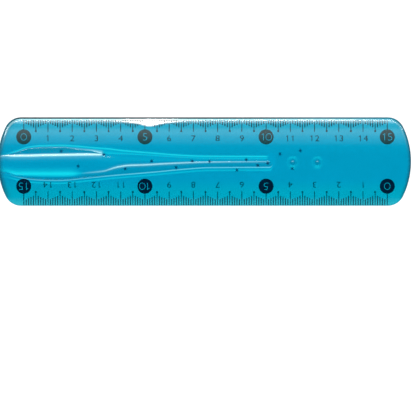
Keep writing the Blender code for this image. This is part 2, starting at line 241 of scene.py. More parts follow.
@dataclass(frozen=True)
class Outline:
    """The blade seen from above: two straight edges, two bowed ends and four round corners."""

    length: float = 170.3 * MM
    width: float = 36.5 * MM
    bow_radius: float = 33.0 * MM
    corner_radius: float = 7.0 * MM
    end_zone: float = 12.0 * MM

    @property
    def half_length(self) -> float:
        """The right end's x."""
        return self.length / 2

    @property
    def half_width(self) -> float:
        """The upper edge's y."""
        return self.width / 2

    @cached_property
    def corner_centre(self) -> Pair:
        """The point that the round corner of the right upper end is struck from."""
        y = self.half_width - self.corner_radius
        reach = math.sqrt((self.bow_radius - self.corner_radius) ** 2 - y**2)
        return self.half_length - self.bow_radius + reach, y

    def corner_middle(self, inset: float) -> Pair:
        """The middle of the round corner's arc at an inset."""
        x, y = self.corner_centre
        turn = (math.asin(y / (self.bow_radius - self.corner_radius)) + math.pi / 2) / 2
        radius = self.corner_radius - inset
        return x + radius * math.cos(turn), y + radius * math.sin(turn)

    def end_x(self, y: float, inset: float) -> float:
        """How far out the right end is at y, at an inset."""
        x, centre_y = self.corner_centre
        bow = self.bow_radius - inset
        if abs(y) <= bow * centre_y / (self.bow_radius - self.corner_radius):
            return self.half_length - self.bow_radius + math.sqrt(bow**2 - y**2)
        return x + math.sqrt(max((self.corner_radius - inset) ** 2 - (abs(y) - centre_y) ** 2, 0))

    def side_y(self, x: float, inset: float) -> float:
        """How far from the middle line the long edge is at x, at an inset."""
        centre_x, y = self.corner_centre
        if x <= centre_x:
            return self.half_width - inset
        return y + math.sqrt(max((self.corner_radius - inset) ** 2 - (x - centre_x) ** 2, 0))

    def place(self, x: float, y: float, inset: float) -> Pair:
        """Carries a point of the plain rectangle into the outline.

        Args:
            x: The point's place along the rectangle.
            y: The point's place across it, which reaches the half width less the inset.
            inset: How far inside the real outline the rectangle's own edge comes to lie.

        Returns:
            The point's new x and y.
        """
        inner_x = self.half_length - self.end_zone
        into_end = (abs(x) - inner_x) / self.end_zone
        if into_end <= 0:
            return x, y
        corner_x, corner_y = self.corner_middle(inset)
        across = y / (self.half_width - inset)
        edge_x = inner_x + into_end * (corner_x - inner_x)
        bow = self.end_x(across * corner_y, inset) - corner_x
        return math.copysign(edge_x + into_end**2 * bow, x), across * self.side_y(edge_x, inset)

    def to_edge(self, x: float, y: float) -> Vector:
        """The way straight out from a point near the edge to the outline."""
        centre_x, centre_y = self.corner_centre
        bow_x = self.half_length - self.bow_radius
        past_bow = Vector((abs(x) - bow_x, abs(y)))
        past_corner = Vector((abs(x) - centre_x, abs(y) - centre_y))
        if past_corner.x <= 0:
            out = Vector((0, self.half_width - abs(y)))
        elif Vector((centre_x - bow_x, centre_y)).cross(past_corner) >= 0:
            out = past_corner.normalized() * (self.corner_radius - past_corner.length)
        else:
            out = past_bow.normalized() * (self.bow_radius - past_bow.length)
        return Vector((math.copysign(1, x) * out.x, math.copysign(1, y) * out.y, 0))


class Row(NamedTuple):
    """One mesh row across the top: its y, its height over the blade, and how the plastic looks there:
    painted light and shade, a painted glint and its gloss.
    """

    y: float
    rise: float = 0.0
    tint: float = 0.0
    glint: float = 0.0
    shine: float = 1.0


@dataclass(frozen=True)
class ReliefKey:
    """One line that the ribbon's section is drawn through, from its upper foot to its lower one.

    Args:
        line: Which of the main lines it keeps to, counted from the upper side of the ruler.
        shift: How far towards the lower edge of the ruler it lies from that line.
        cap: The most of the gap to the next main line that the shift may take.
        broad: Its height above the blade where the ribbon is broad.
        narrow: Its height where the ribbon is narrow.
        broad_tint: How much painted glow makes the plastic paler there, or painted shade makes it deeper
            where negative.
        narrow_tint: The same where the ribbon is narrow.
        lean: How steeply the broad ribbon lies lower than that, the further it is from the crest.
        glint: Its share of the painted glint that its main line carries.
        shine: Its share of the blade's own gloss.
    """

    line: int
    shift: float
    cap: float
    broad: float
    narrow: float
    broad_tint: float
    narrow_tint: float
    lean: float = 0.0
    glint: float = 0.0
    shine: float = 0.3


def relief_keys(*table: tuple[float, ...]) -> tuple[ReliefKey, ...]:
    """Makes keys of rows that follow the fields of ReliefKey, with their lengths in millimetres."""
    return tuple(
        ReliefKey(line, shift * MM, cap, broad * MM, narrow * MM, *looks)
        for line, shift, cap, broad, narrow, *looks in table
    )


@dataclass(frozen=True)
class Ribbon:
    """The raised ribbon, which turns over once and runs out in a narrow tail."""

    start_x: float = -85.15 * MM
    end_x: float = 28.25 * MM
    nose: float = 1.6 * MM
    nose_lead: float = 1.5
    reopening: float = 4.0 * MM
    least_opening: float = 0.15
    least_gap: float = 0.2 * MM
    tips: Points = millimetres((1.4, 1.8), (1.4, 1.8), (1.4, 1.8), (0.9, 0.8), (0, 0.5))
    upper_twist: Pair = (-45.0 * MM, -40.0 * MM)
    lower_twist: Pair = (-50.0 * MM, -35.0 * MM)
    lower_from: tuple[int, float] = (2, 1.0 * MM)
    glow_twist: Pair = (-56.0 * MM, -48.0 * MM)
    glow_line: int = 3
    fade_in: float = 6.0 * MM
    start_share: float = 0.35
    rows_between: int = 3
    respread: float = 4.0 * MM
    spread_half: float = 1.6 * MM
    upper_foot: Points = millimetres(
        (-85.2, 2.6), (-83, 3), (-81.4, 3.5), (-78.1, 4.55), (-76, 5.2), (-71.9, 5.9),
        (-67.7, 6.4), (-59.1, 6.6), (-53, 6.3), (-47.1, 5.75), (-43, 5.4), (-38.8, 5.05),
        (-34, 4.45), (-30.6, 4.15), (-20.2, 3.3), (-9.9, 2.5), (0.4, 2.1), (28.5, 2), (33.5, 2),
    )
    fold: Points = millimetres(
        (-85.2, 2.5), (-83, 2.88), (-81.4, 3.25), (-78.1, 4.15), (-76, 4.8), (-71.9, 5.45),
        (-67.7, 5.85), (-59.1, 5.85), (-53, 5.3), (-49.2, 4.75), (-47.1, 4.55), (-45, 4.05),
        (-43.8, 3.65), (-42.5, 3.3), (-38.8, 3.2), (-34, 3.15), (-30.6, 3.05), (-22.3, 2.6),
        (-9.9, 1.8), (-1.7, 1.4), (28.5, 1.15), (33.5, 1.15),
    )
    upper_edge: Points = millimetres(
        (-85.2, 2.45), (-83, 2.75), (-81.9, 2.6), (-80, 2.5), (-74, 2.5), (-66, 2.7),
        (-59.1, 2.8), (-47.1, 3), (-42.5, 3.05), (-38.8, 2.8), (-35.5, 2.6), (-28, 2.25),
        (-20, 1.75), (-9.9, 1.15), (2.5, 0.8), (28.5, 0.7), (33.5, 0.7),
    )
    lower_edge: Points = millimetres(
        (-83.4, -3.9), (-79, -5), (-54, -5), (-47, -4.5), (-41.3, -3.9), (-38.8, -3.1),
        (-35.5, -2.2), (-31, -1.6), (-25, -1.4), (-18, -1), (-9.9, -0.6), (2.5, -0.2),
        (28.5, 0), (33.5, -0.95),
    )
    lower_foot: Points = millimetres(
        (-83.4, -5.2), (-80.1, -6), (-74.3, -6.9), (-66, -7.6), (-60, -7.7), (-50.4, -6.9),
        (-45.4, -6.4), (-37.2, -5.6), (-27.3, -4.8), (-18.2, -4), (-9.9, -3.2), (2.5, -2.4),
        (28.5, -2.3), (33.5, -3.2),
    )
    # Each row follows ReliefKey. The sixth and seventh columns paint glow where positive and shade where
    # negative; the ninth paints a glint.
    keys: tuple[ReliefKey, ...] = relief_keys(
        (0, -1, 9, 0, 0, 0, 0, 0, 0, 1),
        (0, -0.45, 9, 0, 0, 0.1, 0.15),
        (0, -0.15, 9, 0.01, 0.005, 0.65, 0.9),
        (0, 0.15, 0.3, 0.02, 0.01, 0.6, 0.6),
        (0, 0.42, 0.5, 0.02, 0.01, 0.15, 0.15),
        (1, -0.035, 0.08, 0.03, 0.015, 0, 0.55, 0, 0.8, 0),
        (1, -0.03, 0.07, 0.03, 0.015, -0.1, 0.6, 0, 1, 0),
        (1, 0.03, 0.04, 0.5, 0.015, -0.6, 0.6, 0.085, 1, 0),
        (1, 0.035, 0.045, 0.5, 0.015, -0.6, 0.55, 0.085, 0.6, 0.1),
        (1, 0.5, 0.3, 0.5, 0.02, -0.6, 0.2, 0.07, 0, 0.1),
        (2, -0.9, 0.4, 0.5, 0.03, -0.5, 0.05, 0.07, 0, 0.1),
        (2, -0.55, 0.3, 0.49, 0.032, -0.3, 0.05, 0.05, 0.1, 0.1),
        (2, -0.35, 0.2, 0.49, 0.033, -0.2, 0.05, 0.04, 0.55, 0.1),
        (2, -0.11, 0.1, 0.5, 0.035, -0.1, 0.05, 0, 1, 0.1),
        (2, 0.2, 0.09, 0.58, 0.04, 0.1, 0.05, 0, 1, 0.1),
        (2, 0.4, 0.14, 0.595, 0.04, 0.1, 0.05, 0, 0.85, 0.1),
        (2, 0.62, 0.2, 0.61, 0.042, 0.05, 0.1, 0, 0.25, 0.1),
        (2, 1.2, 0.3, 0.67, 0.045, 0, 0.1, 0, 0.06, 0.1),
        (2, 2.2, 0.45, 0.72, 0.045, 0, 0.1),
        (2, 3.6, 0.55, 0.73, 0.05, -0.1, 0),
        (3, -1.3, 0.3, 0.64, 0.05, 0.3, -0.15),
        (3, -0.5, 0.28, 0.575, 0.054, 0.8, -0.1, 0, 0.08),
        (3, -0.3, 0.25, 0.565, 0.055, 0.9, 0, 0, 0.28),
        (3, -0.13, 0.14, 0.555, 0.055, 0.95, 0.1, 0, 1, 0),
        (3, 0.13, 0.09, 0.54, 0.132, 1, 0, 0, 1, 0),
        (3, 0.3, 0.15, 0.53, 0.135, 0.9, -0.2, 0, 0.25),
        (3, 0.55, 0.2, 0.5, 0.137, 0.7, -0.3, 0, 0.08),
        (3, 1.2, 0.45, 0.4, 0.145, 0.2, -0.3),
        (4, -0.5, 0.22, 0.33, 0.145, -1, -0.45),
        (4, -0.27, 0.12, 0.11, 0.1, -1, -0.3, 0, 0.1, 0),
        (4, -0.1, 0.06, 0.08, 0.07, -0.6, 0, 0, 0.9, 0),
        (4, 0.12, 9, 0.02, 0.02, 0.1, 0.4, 0, 1, 0),
        (4, 0.3, 9, 0.01, 0.01, 0.3, 0.4, 0, 0.2),
        (4, 0.5, 9, 0, 0, -0.15, 0),
        (4, 0.85, 9, 0, 0, 0, 0.1),
        (4, 1.25, 9, 0, 0, 0.45, 0.4),
        (4, 1.8, 9, 0, 0, 0, 0, 0, 0, 1),
    )
    # Painted glints along each main line, as shares by place along the ruler.
    glints: tuple[Points, ...] = (
        (),
        along(
            (-82, 0), (-78, 0.14), (-60, 0.12), (-52, 0.2),
            (-47, 0.5), (-43, 0.95), (-41.7, 0),
        ),
        along((-85.1, 0.3), (-82.5, 0.7), (-81.5, 1), (-43, 1), (-41.7, 0)),
        along(
            (-51, 0), (-47, 0.14), (-41, 0.3), (-37, 0.6), (-34.7, 0.75), (-30, 0.72),
            (-10, 0.52), (19, 0.26), (26.3, 0.22), (27, 0),
        ),
        along((-82, 0), (-74, 0.16), (27, 0.2), (28.4, 0)),
    )

    def rows(self, x: float) -> list[Row]:
        """The ribbon's section at one place along the ruler.

        Args:
            x: The place.

        Returns:
            Every mesh row, from the upper side to the lower one.
        """
        lines = [
            smooth_path(path, x)
            for path in (self.upper_foot, self.fold, self.upper_edge, self.lower_edge, self.lower_foot)
        ]
        past = min(max((x - self.end_x) / self.nose + 1, 0), 1)
        opening = math.sqrt(1 - past**2) + max(x - self.end_x, 0) / self.reopening
        lines[-1] = lines[-2] + (lines[-1] - lines[-2]) * min(max(opening, self.least_opening), 1)
        gaps = [max(before - after, self.least_gap) for before, after in zip(lines, lines[1:])]
        ends = (self.upper_twist, self.lower_twist, self.glow_twist)
        twists = [ease((x - start) / (end - start)) for start, end in ends]
        at_nose = ease((x - self.end_x) / self.nose + self.nose_lead)
        past_tip = ease((self.end_x - x) / self.nose + 1)
        strength = self.start_share + (1 - self.start_share) * ease((x - self.start_x) / self.fade_in)
        drawn = []
        for key in self.keys:
            index = key.line - (key.shift < 0)
            room = key.cap * gaps[index] if 0 <= index < len(gaps) else abs(key.shift)
            shift = math.copysign(min(abs(key.shift), room), key.shift)
            y = lines[key.line] - shift
            twist = twists[(key.line, key.shift) > self.lower_from]
            broad = key.broad - key.lean * (y - lines[2])
            height = broad + (key.narrow - broad) * twist
            # The key's painted glow and shade, and its painted glint.
            painted_light_shade_twist = twists[-1] if key.line == self.glow_line else twist
            tint = key.broad_tint + (key.narrow_tint - key.broad_tint) * painted_light_shade_twist
            back, fade = self.tips[key.line]
            share = strength * ease((self.end_x - back - x) / fade)
            glint = key.glint * smooth_path(self.glints[key.line], x) if key.glint else 0.0
            shine = (1 - (1 - key.shine) * strength * past_tip) * (1 - at_nose * past_tip)
            drawn.append((-y, height * share, tint * share, glint, shine))
        drops, *looks = zip(*drawn)
        paths = [tuple(zip(drops, look)) for look in looks]
        rows = []
        for drop, next_drop in zip(drops, drops[1:]):
            for step in range(self.rows_between):
                at = drop + (next_drop - drop) * step / self.rows_between
                rows.append((-at, *(smooth_path(path, at) for path in paths)))
        rows.append((-drops[-1], *drawn[-1][1:]))
        spread = ease((x - self.end_x) / self.respread)
        even = [self.spread_half * (1 - 2 * i / (len(rows) - 1)) for i in range(len(rows))]
        return [Row(y + (level - y) * spread, *rest) for level, (y, *rest) in zip(even, rows)]


@dataclass(frozen=True)
class Dome:
    """A low round stud with a flared foot, beyond the ribbon's tail."""

    x: float
    y: float = -0.4 * MM
    profile: Points = millimetres(
        (0, 0.42), (0.6, 0.415), (0.64, 0.4), (0.75, 0.02), (0.79, 0), (2, 0),
    )
    # Painted light and shade round the stud: a shaded inside, a glowing halo and arc, and a highlight spot.
    shade: float = 1.3 * MM
    shade_depth: float = 0.75
    halo: float = 2.1 * MM
    halo_light: float = 0.1
    halo_side_light: float = 0.32
    glow_width: float = 0.45 * MM
    arc_light: float = 0.6
    arc_sharpness: float = 3.0
    spot: Pair = (0.45 * MM, 0.22 * MM)
    spot_rise: float = 0.45 * MM
    spot_light: float = 0.3

    def rise(self, x: float, y: float) -> float:
        """Its height above the blade at a point."""
        return smooth_path(self.profile, math.hypot(x - self.x, y - self.y))

    def tint(self, x: float, y: float) -> float:
        """The painted light and shade there: a painted halo glow, painted shade inside and a painted pale
        arc below.
        """
        away = math.hypot(x - self.x, y - self.y)
        across = (y - self.y) / max(away, self.glow_width)
        inside = ease((self.shade - away) / self.glow_width)
        glow = math.exp(-(((away - self.halo) / self.glow_width) ** 2))
        arc_width = self.glow_width / self.arc_sharpness
        arc = math.exp(-(((away - self.shade) / arc_width) ** 2)) * max(-across, 0) ** 3
        halo = glow * (self.halo_light + self.halo_side_light * across**2)
        return halo - self.shade_depth * inside + self.arc_light * arc

    def glint(self, x: float, y: float) -> float:
        """The painted highlight spot there."""
        spot_x, spot_y = (x - self.x) / self.spot[0], (y - self.y - self.spot_rise) / self.spot[1]
        return self.spot_light * math.exp(-(spot_x**2) - spot_y**2)

    def shine(self, x: float, y: float) -> float:
        """Its share of the blade's own gloss there."""
        return ease((math.hypot(x - self.x, y - self.y) - self.shade) / self.glow_width + 1)


@dataclass(frozen=True)
class Flexures:
    """The lines that the blade bends or twists at, and the blade sections between them."""

    first_x: float = -65.05 * MM
    step: float = 12.0 * MM
    count: int = 12

    def x_of(self, index: int) -> float:
        """Where flexure line index lies."""
        return self.first_x + self.step * index

    def cuts(self, index: int) -> list[float]:
        """The x of each end of the strip over a flexure line that isn't an end of the ruler."""
        middle = self.x_of(index)
        before = [middle - self.step / 2] if index else []
        return before + ([middle + self.step / 2] if index < self.count - 1 else [])

    def strip_at(self, x: float) -> int:
        """The strip that a point along the ruler belongs to."""
        return min(max(round((x - self.first_x) / self.step), 0), self.count - 1)

    def flex(self, piece: Object, index: int) -> None:
        """Makes a piece bend or twist with its flexure line.

        Args:
            piece: A finished mesh.
            index: The flexure line.
        """
        middle = self.x_of(index)
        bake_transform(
            piece,
            f"section_{index + 1:02d}",
            f"section_{index + 2:02d}",
            start=(middle - self.step / 2, 0, 0),
            end=(middle + self.step / 2, 0, 0),
        )


@dataclass(frozen=True)
class ClearPlastic:
    """The tinted, glass-clear, soft plastic: painted shade makes it deeper where thick or steep, and painted
    glow and glints make it paler.
    """

    # Deepest in a band along the middle and paler towards both long edges; the paler band under the upper
    # edge is partly a painted haze of reflected light.
    body: tuple[tuple[float, Colour], ...] = (
        (0.02, (0.02, 0.41, 0.52)),
        (0.1, (0.0, 0.345, 0.49)),
        (0.16, (0.0, 0.345, 0.49)),
        (0.3, (0.0, 0.30, 0.50)),
        (0.58, (0.0, 0.30, 0.50)),
        (0.72, (0.0, 0.335, 0.535)),
        (0.86, (0.006, 0.37, 0.55)),
    )
    # Painted glow, mixed in where the relief attribute is positive.
    pale: Colour = (0.005, 0.62, 0.75)
    # Painted shade, mixed in where the relief attribute is negative.
    deep: Colour = (0.0, 0.19, 0.32)
    # A painted dark edge line, mixed in where the rim attribute is positive.
    rim: Colour = (0.01, 0.025, 0.03)
    # A painted glint.
    glint: Colour = (0.52, 0.93, 1.0)
    # A painted bright highlight, mixed in where the rim attribute is negative.
    white: Colour = (1.0, 1.0, 1.0)
    cloud_scale: float = 60.0
    cloud_detail: float = 2.0
    cloud_spread: Pair = (0.96, 1.04)
    roughness: float = 0.035
    smudge_spread: Pair = (0.6, 1.6)
    refraction: float = 1.5
    half_width: float = 18.25 * MM

    def make(self) -> Material:
        """The node material."""
        made, graph, shader = new_finish("clear_blue_plastic")
        place, y = graph.object_place()
        across = graph.share(y, -self.half_width, self.half_width)
        cloud = graph.noise(place, self.cloud_scale, self.cloud_detail)
        colour = graph.scaled(graph.ramp(across, self.body), graph.spread(cloud, self.cloud_spread))
        # Mixes painted light and shade into the colour, by attribute.
        targets = (("relief", self.pale, 1), ("relief", self.deep, -1), ("glint", self.glint, 1))
        targets += (("rim", self.rim, 1), ("rim", self.white, -1))
        for name, target, sign in targets:
            layer = graph.add("Attribute", {}, "Fac", attribute_name=name)
            share = graph.add("Math", {0: layer, 1: sign}, operation="MULTIPLY", use_clamp=True)
            colour = graph.mix(share, colour, target)
        low, high = (self.roughness * factor for factor in self.smudge_spread)
        inputs = {"Transmission Weight": 1.0, "IOR": self.refraction, "Base Color": colour}
        inputs["Specular Tint"] = graph.add("Attribute", {}, "Fac", attribute_name="shine")
        inputs["Roughness"] = graph.spread(cloud, (low, high))
        graph.feed(shader, inputs)
        return made


@dataclass(frozen=True)
class PrintedInk:
    """The dark, faintly uneven ink of the scale."""

    upper: Colour = (0.05, 0.05, 0.05)
    middle: Colour = (0.01, 0.08, 0.16)
    lower: Colour = (0.07, 0.08, 0.1)
    middle_half_width: float = 6.8 * MM
    fade: float = 0.2 * MM
    grain_scale: float = 1500.0
    grain_detail: float = 3.0
    grain_spread: Pair = (0.8, 1.2)
    roughness: float = 0.6
    gloss: float = 0.05

    def make(self) -> Material:
        """The node material."""
        made, graph, shader = new_finish("dark_ink")
        place, y = graph.object_place()
        tone = (*self.lower, 1)
        for border, inner in ((-self.middle_half_width, self.middle), (self.middle_half_width, self.upper)):
            tone = graph.mix(graph.share(y, border - self.fade, border + self.fade), tone, inner)
        grain = graph.spread(graph.noise(place, self.grain_scale, self.grain_detail), self.grain_spread)
        inputs = {"Roughness": self.roughness, "Specular IOR Level": self.gloss}
        graph.feed(shader, inputs | {"Base Color": graph.scaled(tone, grain)})
        return made


@dataclass
class Moulding:
    """The one soft moulding, cut across into strips."""

    outline: Outline = field(default_factory=Outline)
    ribbon: Ribbon = field(default_factory=Ribbon)
    flexures: Flexures = field(default_factory=Flexures)
    domes: tuple[Dome, ...] = (Dome(36.35 * MM), Dome(46.55 * MM))
    underside: float = 0.1 * MM
    thickness: float = 2.0 * MM
    edge_fall: float = 0.8 * MM
    level_half_width: float = 6.8 * MM
    rim: float = 0.05 * MM
    rim_steps: int = 3
    land: float = 0.7 * MM
    land_shares: tuple[float, ...] = (0.12, 0.3, 0.84, 0.97)
    # The painted dark line along the edge and the painted shade at the bowed ends:
    line_back: float = 0.06 * MM
    line_blend: float = 0.12 * MM
    line_least: float = 0.1
    line_right_fade: float = 0.4
    line_end_fade: float = 0.5
    line_facing: Pair = (0.4, 0.6)
    left_shade: float = 1.5 * MM
    right_shade: float = 0.9 * MM
    shade_depth: float = 0.7
    shade_facing: tuple[float, float, float] = (1.6, 0.75, 0.5)
    bevel_drop: float = 0.076 * MM
    bevel_growth: float = 0.66
    bevel_round: float = 1.2
    bevel_facing: float = 0.45
    bevel_end_loss: float = 0.5
    light_facing: Pair = (0.1, 0.5)
    upper_bevel: float = 0.25 * MM
    bevel_blend: float = 0.65 * MM
    bevel_fade: float = 75.0 * MM
    end_fade: float = 6.0 * MM
    lower_bevel: float = 0.3 * MM
    bevel_shares: tuple[float, ...] = (0.0, 0.12, 0.3, 0.5, 0.7, 0.88, 1.0)
    wall_joint: float = 0.4 * MM
    wave: Points = millimetres(
        (-46, 0.05), (-36, 0.4), (-28, 1.2), (-22.5, 2.3), (-17, 1.2), (-8, 0.3), (4, 0),
        (60, -0.08),
    )
    # Painted glints and painted bright highlights along the bevel of the upper edge.
    bevel_glints: Points = along(
        (-84, 0.6), (-76, 0.85), (-60, 1), (45, 1), (62, 0.7), (76, 0.35),
        (84, 0.25),
    )
    bevel_whites: Points = along(
        (-52, 0), (-40, 0.15), (-33, 0.55), (-28, 0.95), (-18, 0.95), (-10, 0.3),
        (-2, 0),
    )
    fine_step: float = 0.05 * MM
    step: float = 0.5 * MM
    fine_stretches: Points = millimetres((26.45, 28.45), (34.95, 37.45), (45.45, 47.45))
    end_shares: tuple[float, ...] = (
        0.0, 0.008, 0.018, 0.03, 0.045, 0.063, 0.085, 0.11, 0.14, 0.175, 0.215, 0.26,
        0.31, 0.37, 0.43, 0.5, 0.57, 0.64, 0.71, 0.78, 0.85, 0.92, 0.98,
    )
    side_rows: int = 20
    side_crowding: float = 1.15
    weld: float = 0.001 * MM
    cut_slack: float = 0.01 * MM
    # relief holds painted glow and shade, rim a painted dark edge line less a painted highlight, glint a
    # painted glint; shine is the gloss.
    layers: tuple[str, ...] = ("relief", "rim", "glint", "shine")

    @property
    def inset(self) -> float:
        """How far inside the outline the grid of the top stops and the rim starts."""
        return self.rim + self.land

    def bevel_width(self, x: float, y: float) -> float:
        """The width of the bevel inside the rim's land, which wanders along the upper edge."""
        return self.upper_bevel + smooth_path(self.wave, x) if y > 0 else self.lower_bevel

    def bevel_depth(self, x: float, y: float, outward: Vector) -> float:
        """How far the bevel falls: more where it is broad, and only where it faces the upper side."""
        fall = self.bevel_drop * (self.bevel_width(x, y) / self.upper_bevel) ** self.bevel_growth
        fade = 1 - self.bevel_end_loss * ease((x - self.bevel_fade) / self.end_fade)
        return fall * ease(outward.y / self.bevel_facing) * fade

    def top(self, x: float, y: float) -> float:
        """The height of the blade's top, without the ribbon."""
        fall = max(abs(y) - self.level_half_width, 0) / (self.outline.half_width - self.level_half_width)
        width = self.bevel_width(x, y)
        way = self.outline.to_edge(x, y)
        depth = way.length - self.inset
        into_bevel = min(max(1 - depth / width, 0), 1) ** self.bevel_round
        rise = sum(dome.rise(x, y) for dome in self.domes)
        drop = self.edge_fall * fall**2 + self.bevel_depth(x, y, way.normalized()) * into_bevel
        return self.underside + self.thickness - drop + rise

    def columns(self) -> list[float]:
        """The x of every mesh column: the strips' cuts are among them."""
        inner = self.outline.half_length - self.outline.end_zone
        start = self.flexures.x_of(0) + self.flexures.step / 2
        before, after = (math.ceil((inner + side * start) / self.step) for side in (1, -1))
        places = [start + self.step * i for i in range(-before, after)]
        places = [x for x in places if -inner < x < inner]
        for first, last in self.fine_stretches:
            fine = round((last - first) / self.fine_step)
            places = [x for x in places if not first + self.fine_step / 2 < x < last - self.fine_step / 2]
            places += [first + self.fine_step * i for i in range(1, fine)]
        ends = [self.outline.half_length - self.outline.end_zone * share for share in self.end_shares]
        return sorted(places + ends + [-x for x in ends])

    def lights(self, x: float, y: float) -> tuple[float, float, float]:
        """The painted glint and the painted bright highlight that the upper edge's bevel and the domes
        carry, and the gloss left.
        """
        way = self.outline.to_edge(x, y)
        depth = way.length - self.inset
        inside = ease((depth + self.line_back + self.line_blend) / self.line_blend)
        bevel = ease((self.bevel_width(x, y) + self.bevel_blend - depth) / self.bevel_blend)
        least, span = self.light_facing
        bevel *= ease((way.normalized().y - least) / span) * inside
        # Painted glint along the bevel, with the domes' painted highlight spots.
        glint = smooth_path(self.bevel_glints, x) * bevel + sum(dome.glint(x, y) for dome in self.domes)
        white = smooth_path(self.bevel_whites, x)
        shine = (inside - bevel * (1 - white)) * math.prod(dome.shine(x, y) for dome in self.domes)
        return glint, white * bevel, shine

    def rows(self, x: float) -> list[Row]:
        """Every mesh row across the top at x."""
        edge = self.outline.half_width - self.inset
        ribbon = self.ribbon.rows(x)
        sides = []
        for sign, foot in ((1, ribbon[0][0]), (-1, ribbon[-1][0])):
            width = self.bevel_width(x, sign)
            ys = [sign * (edge - width * share) for share in self.bevel_shares]
            start, reach = ys[-1], foot - ys[-1]
            shares = [(i / self.side_rows) ** self.side_crowding for i in range(1, self.side_rows)]
            sides.append([Row(y) for y in ys + [start + reach * share for share in shares]])
        return sides[0] + ribbon + sides[1][::-1]

    def add_face(self, bm: BMesh, is_top: bool) -> None:
        """Adds the top or the underside, with its half of the rim.

        Args:
            bm: The moulding's bmesh.
            is_top: Whether it is the top, which takes the relief.
        """
        layers = [bm.verts.layers.float[name] for name in self.layers]
        columns = self.columns()
        rows = [self.rows(x) for x in columns]
        last_column, last_row = len(columns) - 1, len(rows[0]) - 1
        grid = bmesh.ops.create_grid(bm, x_segments=last_column, y_segments=last_row, size=1)["verts"]
        for vert in grid:
            column = round((vert.co.x + 1) / 2 * last_column)
            row = rows[column][round((1 - vert.co.y) / 2 * last_row)]
            x, y = self.outline.place(columns[column], row.y, self.inset)
            vert.co = Vector((x, y, self.top(x, y) + row.rise if is_top else self.underside))
            self.dress(vert, layers, x, y, row)
        starts = {vert: vert.co.copy() for vert in grid if vert.is_boundary}
        outward = {vert: self.outline.to_edge(vert.co.x, vert.co.y).normalized() for vert in starts}
        edges = list(dict.fromkeys(edge for vert in starts for edge in vert.link_edges if edge.is_boundary))
        turns = [math.pi / 2 * step / self.rim_steps for step in range(self.rim_steps + 1)]
        rings = [(self.land + self.rim * math.sin(turn), self.rim * (1 - math.cos(turn))) for turn in turns]
        level = [(self.land * share, 0.0) for share in self.land_shares]
        inward = -1 if is_top else 1
        for out, down in level + rings + [(self.inset, None)]:
            grown = bmesh.ops.extrude_edge_only(bm, edges=edges)["geom"]
            edges = [item for item in grown if isinstance(item, BMEdge) and item.is_boundary]
            ring_starts, ring_outward = {}, {}
            for vert in (item for item in grown if isinstance(item, BMVert)):
                others = (edge.other_vert(vert) for edge in vert.link_edges)
                inner = next(other for other in others if other in starts)
                ring_starts[vert], ring_outward[vert] = starts[inner], outward[inner]
                vert.co = starts[inner] + outward[inner] * out
                vert.co.z = self.wall_joint if down is None else starts[inner].z + inward * down
                self.dress(vert, layers, vert.co.x, vert.co.y, Row(vert.co.y))
            starts, outward = ring_starts, ring_outward

    def dress(self, vert: BMVert, layers: list[BMLayerItem], x: float, y: float, row: Row) -> None:
        """Writes down how the plastic looks at a vertex: its painted light and shade, painted edge line,
        painted glint and gloss.

        Args:
            vert: The vertex.
            layers: Where its looks are kept, in the order of their names.
            x: Its place along the ruler.
            y: Its place across it.
            row: The mesh row that it belongs to.
        """
        glint, white, gloss = self.lights(x, y)
        # Painted glow and shade of the ribbon and the domes.
        tint = row.tint + sum(dome.tint(x, y) for dome in self.domes)
        # The rim attribute holds the painted dark edge line, less the painted highlight.
        looks = (tint, self.rim_depth(x, y) - white, row.glint + glint, row.shine * gloss)
        for layer, value in zip(layers, looks):
            vert[layer] = value

    def rim_depth(self, x: float, y: float) -> float:
        """How much painted shade darkens the edge: a painted dark line, most along the left of the upper
        edge, and painted shade at the bowed ends.
        """
        way = self.outline.to_edge(x, y)
        outward = way.normalized()
        share = (x + self.outline.half_length) / self.outline.length
        upper = 1.0 - self.line_right_fade * ease((share - 0.5) / 0.5)
        level, lean = self.line_facing
        dark = self.line_least + (upper - self.line_least) * ease(level + lean * outward.y)
        line = dark * ease((self.inset - way.length - self.line_back) / self.line_blend)
        line *= 1 - self.line_end_fade * abs(outward.x)
        gain, back, span = self.shade_facing
        end = ease(gain * abs(outward.x)) * ease((outward.y + back) / span)
        end *= math.exp(-((way.length / (self.right_shade if x > 0 else self.left_shade)) ** 2))
        return min(max(line, self.shade_depth * end), 1.0)

    def build(self) -> None:
        """Models the moulding and cuts it into its strips, from the left end."""
        bm = bmesh.new()
        for name in self.layers:
            bm.verts.layers.float.new(name)
        normals = bm.verts.layers.float_vector.new("whole_normal")
        self.add_face(bm, True)
        self.add_face(bm, False)
        bmesh.ops.remove_doubles(bm, verts=bm.verts, dist=self.weld)
        bmesh.ops.recalc_face_normals(bm, faces=bm.faces)
        bm.normal_update()
        for vert in bm.verts:
            vert[normals] = vert.normal
        material = ClearPlastic().make()
        strips = [self.cut_strip(bm, index) for index in range(self.flexures.count)]
        bm.free()
        for index, strip in enumerate(strips):
            strip.data.materials.append(material)
            self.flexures.flex(strip, index)
            sections = [index + 1] + ([index + 2] if index == self.flexures.count - 1 else [])
            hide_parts(*(f"blade_section_{number:02d}" for number in sections))
            keep_clear(strip)

